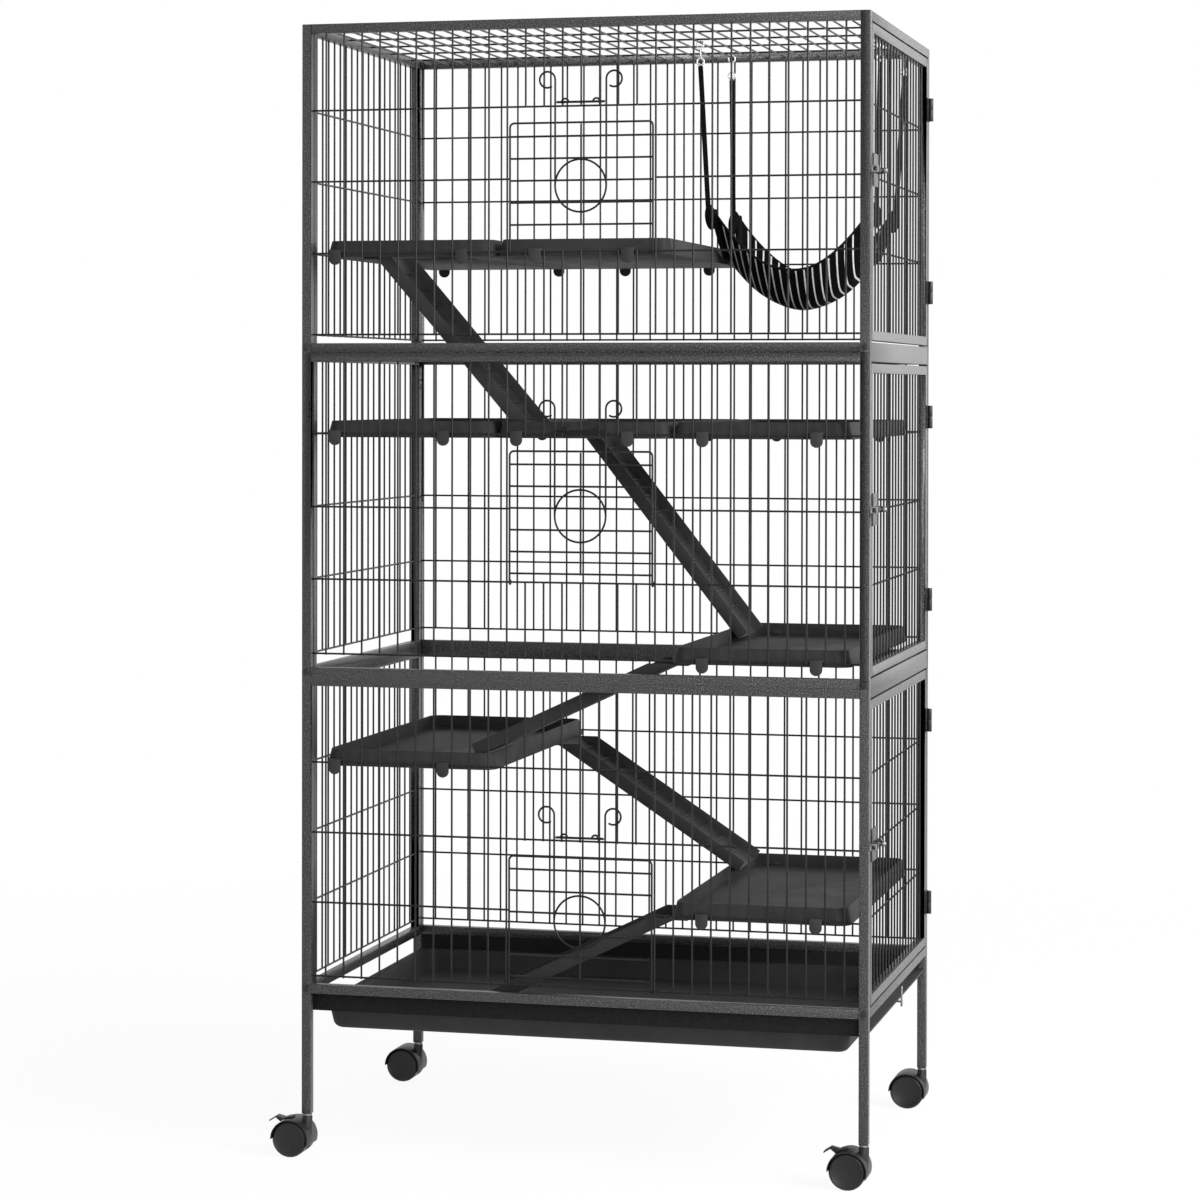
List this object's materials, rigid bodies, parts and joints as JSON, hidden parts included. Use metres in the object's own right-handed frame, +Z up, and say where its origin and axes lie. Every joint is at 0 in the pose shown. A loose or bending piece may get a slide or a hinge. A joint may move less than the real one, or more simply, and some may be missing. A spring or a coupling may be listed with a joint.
{
  "type": "small animal cage",
  "caption": "Tall wire cage on casters with framed tiers, side doors, drop-down hatches, plastic shelves and ramps, a hammock and a pull-out pan.",
  "frame": {"origin": "on the floor under the middle of the whole object", "axes": "+X to the side with the doors, +Y to the back, +Z up"},
  "size_m": [0.8638, 0.573, 1.58],
  "materials": {
    "frame_paint": "dark grey hammered paint",
    "wire_paint": "black paint",
    "black_metal": "black satin",
    "bright_metal": "bright zinc",
    "black_plastic": "matt grained",
    "hammock_cloth": "woven with pale stripes",
    "strap_webbing": "woven",
    "caster_plastic": "satin",
    "wheel_plastic": "satin"
  },
  "bodies": {
    "cage": {"front_frame": "frame_paint", "back_frame": "frame_paint", "left_frame": "frame_paint", "right_frame": "frame_paint", "front_wires": "wire_paint", "back_wires": "wire_paint", "left_wires": "wire_paint", "roof_wires": "wire_paint", "catch_keepers": "wire_paint", "hinge_post_leaves": "black_metal", "pan_runners": "black_metal", "frame_bolts": "black_metal", "latch_keepers": "bright_metal", "caster_collars": "bright_metal", "snap_hooks": "bright_metal", "upper_left_shelf": "black_plastic", "upper_middle_shelf": "black_plastic", "middle_left_shelf": "black_plastic", "middle_centre_shelf": "black_plastic", "middle_right_shelf": "black_plastic", "middle_low_shelf": "black_plastic", "lower_left_shelf": "black_plastic", "lower_right_shelf": "black_plastic", "upper_ramp": "black_plastic", "middle_ramp": "black_plastic", "cross_ramp": "black_plastic", "lower_ramp": "black_plastic", "foot_ramp": "black_plastic", "hammock": "hammock_cloth", "hammock_straps": "strap_webbing"},
    "lower_door": {"lower_door_frame": "frame_paint", "lower_door_wires": "wire_paint", "lower_door_hardware": "black_metal"},
    "lower_bolt": {"lower_latch_bolt": "bright_metal"},
    "lower_hatch": {"lower_small_door": "wire_paint", "lower_catch_spring": "wire_paint"},
    "middle_door": {"middle_door_frame": "frame_paint", "middle_door_wires": "wire_paint", "middle_door_hardware": "black_metal"},
    "middle_bolt": {"middle_latch_bolt": "bright_metal"},
    "middle_hatch": {"middle_small_door": "wire_paint", "middle_catch_spring": "wire_paint"},
    "upper_door": {"upper_door_frame": "frame_paint", "upper_door_wires": "wire_paint", "upper_door_hardware": "black_metal"},
    "upper_bolt": {"upper_latch_bolt": "bright_metal"},
    "upper_hatch": {"upper_small_door": "wire_paint", "upper_catch_spring": "wire_paint"},
    "pan": {"pan": "black_plastic", "pan_catch": "bright_metal"},
    "front_left_swivel": {"front_left_caster": "caster_plastic"},
    "front_left_wheel": {"front_left_wheels": "wheel_plastic"},
    "front_right_swivel": {"front_right_caster": "caster_plastic"},
    "front_right_wheel": {"front_right_wheels": "wheel_plastic"},
    "back_left_swivel": {"back_left_caster": "caster_plastic"},
    "back_left_wheel": {"back_left_wheels": "wheel_plastic"},
    "back_right_swivel": {"back_right_caster": "caster_plastic"},
    "back_right_wheel": {"back_right_wheels": "wheel_plastic"},
    "front_left_brake_lever": {"front_left_brake": "caster_plastic"},
    "front_right_brake_lever": {"front_right_brake": "caster_plastic"}
  },
  "joints": [
    {"name": "lower_door_hinge", "type": "hinge", "parent": "cage", "child": "lower_door", "pos_m": [0.41994, 0.2565, 0.4495], "axis": [0, 0, 1], "range_deg": [0, 150]},
    {"name": "lower_bolt_slide", "type": "slide", "parent": "lower_door", "child": "lower_bolt", "axis": [0, 1, 0], "range_m": [-0.015, 0]},
    {"name": "lower_hatch_hinge", "type": "hinge", "parent": "cage", "child": "lower_hatch", "pos_m": [0.01544, -0.2621, 0.252], "axis": [1, 0, 0], "range_deg": [0, 110]},
    {"name": "middle_door_hinge", "type": "hinge", "parent": "cage", "child": "middle_door", "pos_m": [0.41994, 0.2565, 0.897], "axis": [0, 0, 1], "range_deg": [0, 150]},
    {"name": "middle_bolt_slide", "type": "slide", "parent": "middle_door", "child": "middle_bolt", "axis": [0, 1, 0], "range_m": [-0.015, 0]},
    {"name": "middle_hatch_hinge", "type": "hinge", "parent": "cage", "child": "middle_hatch", "pos_m": [0.01544, -0.2621, 0.807], "axis": [1, 0, 0], "range_deg": [0, 110]},
    {"name": "upper_door_hinge", "type": "hinge", "parent": "cage", "child": "upper_door", "pos_m": [0.41994, 0.2565, 1.3515], "axis": [0, 0, 1], "range_deg": [0, 150]},
    {"name": "upper_bolt_slide", "type": "slide", "parent": "upper_door", "child": "upper_bolt", "axis": [0, 1, 0], "range_m": [-0.015, 0]},
    {"name": "upper_hatch_hinge", "type": "hinge", "parent": "cage", "child": "upper_hatch", "pos_m": [0.01544, -0.2621, 1.261], "axis": [1, 0, 0], "range_deg": [0, 110]},
    {"name": "pan_slide", "type": "slide", "parent": "cage", "child": "pan", "axis": [1, 0, 0], "range_m": [0, 0.65]},
    {"name": "front_left_swivel_turn", "type": "hinge", "parent": "cage", "child": "front_left_swivel", "pos_m": [-0.37806, -0.2635, 0.059], "axis": [0, 0, 1], "continuous": true},
    {"name": "front_left_wheel_spin", "type": "hinge", "parent": "front_left_swivel", "child": "front_left_wheel", "pos_m": [-0.39807, -0.2635, 0.025], "axis": [0, 1, 0], "continuous": true},
    {"name": "front_right_swivel_turn", "type": "hinge", "parent": "cage", "child": "front_right_swivel", "pos_m": [0.40893, -0.2635, 0.059], "axis": [0, 0, 1], "continuous": true},
    {"name": "front_right_wheel_spin", "type": "hinge", "parent": "front_right_swivel", "child": "front_right_wheel", "pos_m": [0.38893, -0.2635, 0.025], "axis": [0, 1, 0], "continuous": true},
    {"name": "back_left_swivel_turn", "type": "hinge", "parent": "cage", "child": "back_left_swivel", "pos_m": [-0.37806, 0.2635, 0.059], "axis": [0, 0, 1], "continuous": true},
    {"name": "back_left_wheel_spin", "type": "hinge", "parent": "back_left_swivel", "child": "back_left_wheel", "pos_m": [-0.39807, 0.2635, 0.025], "axis": [0, 1, 0], "continuous": true},
    {"name": "back_right_swivel_turn", "type": "hinge", "parent": "cage", "child": "back_right_swivel", "pos_m": [0.40893, 0.2635, 0.059], "axis": [0, 0, 1], "continuous": true},
    {"name": "back_right_wheel_spin", "type": "hinge", "parent": "back_right_swivel", "child": "back_right_wheel", "pos_m": [0.38893, 0.2635, 0.025], "axis": [0, 1, 0], "continuous": true},
    {"name": "front_left_brake_press", "type": "hinge", "parent": "front_left_swivel", "child": "front_left_brake_lever", "pos_m": [-0.39807, -0.2635, 0.025], "axis": [0, -1, 0], "range_deg": [0, 15]},
    {"name": "front_right_brake_press", "type": "hinge", "parent": "front_right_swivel", "child": "front_right_brake_lever", "pos_m": [0.38893, -0.2635, 0.025], "axis": [0, -1, 0], "range_deg": [0, 15]}
  ]
}
